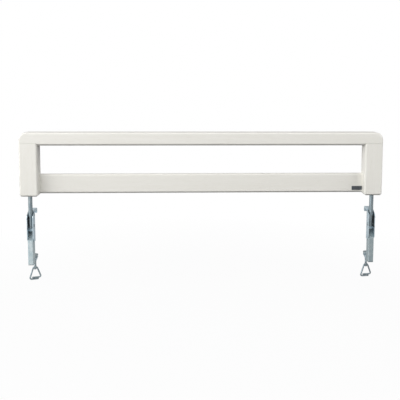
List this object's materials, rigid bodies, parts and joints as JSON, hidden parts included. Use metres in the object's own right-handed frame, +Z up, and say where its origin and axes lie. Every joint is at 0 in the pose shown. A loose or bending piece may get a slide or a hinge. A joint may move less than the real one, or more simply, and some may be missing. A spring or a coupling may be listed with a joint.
{
  "type": "folding bed guard rail",
  "caption": "Wooden bed guard on two steel legs that fold outwards at spring-lever hinges and clamp to a bed's side board with hook and screw.",
  "frame": {"origin": "midway between the clamps, on the line where the hooks' undersides meet the spines' back faces: the top outer edge of the bed's side board", "axes": "+X along the bed, +Y back from the board towards the mattress, +Z up"},
  "size_m": [1.4, 0.089, 0.5943],
  "materials": {
    "lacquered_wood": "satin ivory lacquer over the wood's pores",
    "beech": "bare fluted dowels",
    "zinc_steel": "bright blue-passivated zinc plating",
    "black_plastic": "moulded, fine grain",
    "plate": "satin slate, blank"
  },
  "bodies": {
    "clamp_frames": {"bracket_left": "zinc_steel", "spine_left": "zinc_steel", "spine_plug_left": "black_plastic", "top_jaw_left": "zinc_steel", "lower_jaw_left": "zinc_steel", "screw_nut_left": "zinc_steel", "pivot_bolt_left": "zinc_steel", "pivot_nut_left": "zinc_steel", "pivot_spacer_outer_left": "zinc_steel", "pivot_spacer_inner_left": "zinc_steel", "stop_bolt_left": "zinc_steel", "stop_nut_left": "zinc_steel", "lever_pin_left": "zinc_steel", "bracket_right": "zinc_steel", "spine_right": "zinc_steel", "spine_plug_right": "black_plastic", "top_jaw_right": "zinc_steel", "lower_jaw_right": "zinc_steel", "screw_nut_right": "zinc_steel", "pivot_bolt_right": "zinc_steel", "pivot_nut_right": "zinc_steel", "pivot_spacer_outer_right": "zinc_steel", "pivot_spacer_inner_right": "zinc_steel", "stop_bolt_right": "zinc_steel", "stop_nut_right": "zinc_steel", "lever_pin_right": "zinc_steel"},
    "guard": {"top_rail": "lacquered_wood", "lower_rail": "lacquered_wood", "rail_plate": "plate", "post_left": "lacquered_wood", "leg_left": "zinc_steel", "rail_dowel_left_1": "beech", "side_dowel_left_1": "beech", "leg_screw_left_1": "zinc_steel", "rail_dowel_left_2": "beech", "side_dowel_left_2": "beech", "leg_screw_left_2": "zinc_steel", "post_right": "lacquered_wood", "leg_right": "zinc_steel", "rail_dowel_right_1": "beech", "side_dowel_right_1": "beech", "leg_screw_right_1": "zinc_steel", "rail_dowel_right_2": "beech", "side_dowel_right_2": "beech", "leg_screw_right_2": "zinc_steel"},
    "pad_left": {"pressure_pad_left": "zinc_steel"},
    "screw_left": {"clamp_screw_left": "zinc_steel", "screw_handle_left": "zinc_steel"},
    "lever_left": {"release_lever_left": "black_plastic"},
    "pad_right": {"pressure_pad_right": "zinc_steel"},
    "screw_right": {"clamp_screw_right": "zinc_steel", "screw_handle_right": "zinc_steel"},
    "lever_right": {"release_lever_right": "black_plastic"}
  },
  "joints": [
    {"name": "guard_fold", "type": "hinge", "parent": "clamp_frames", "child": "guard", "pos_m": [0, -0.0185, -0.05], "axis": [1, 0, 0], "range_deg": [0, 150]},
    {"name": "pad_travel_left", "type": "slide", "parent": "clamp_frames", "child": "pad_left", "axis": [0, 0, 1], "range_m": [0, 0.02]},
    {"name": "screw_turn_left", "type": "hinge", "parent": "pad_left", "child": "screw_left", "pos_m": [-0.6655, 0.033, -0.2], "axis": [0, 0, 1], "range_deg": [0, 2400]},
    {"name": "lever_press_left", "type": "hinge", "parent": "clamp_frames", "child": "lever_left", "pos_m": [-0.6655, -0.03, -0.021], "axis": [-1, 0, 0], "range_deg": [0, 20], "stiffness_Nm_per_rad": 0.05, "springref_deg": -22.92},
    {"name": "pad_travel_right", "type": "slide", "parent": "clamp_frames", "child": "pad_right", "axis": [0, 0, 1], "range_m": [0, 0.02]},
    {"name": "screw_turn_right", "type": "hinge", "parent": "pad_right", "child": "screw_right", "pos_m": [0.6655, 0.033, -0.2], "axis": [0, 0, 1], "range_deg": [0, 2400]},
    {"name": "lever_press_right", "type": "hinge", "parent": "clamp_frames", "child": "lever_right", "pos_m": [0.6655, -0.03, -0.021], "axis": [-1, 0, 0], "range_deg": [0, 20], "stiffness_Nm_per_rad": 0.05, "springref_deg": -22.92}
  ],
  "couplings": [
    {"joint": "pad_travel_left", "follows": "screw_turn_left", "m_per_rad": 0.000477},
    {"joint": "pad_travel_right", "follows": "screw_turn_right", "m_per_rad": 0.000477}
  ]
}
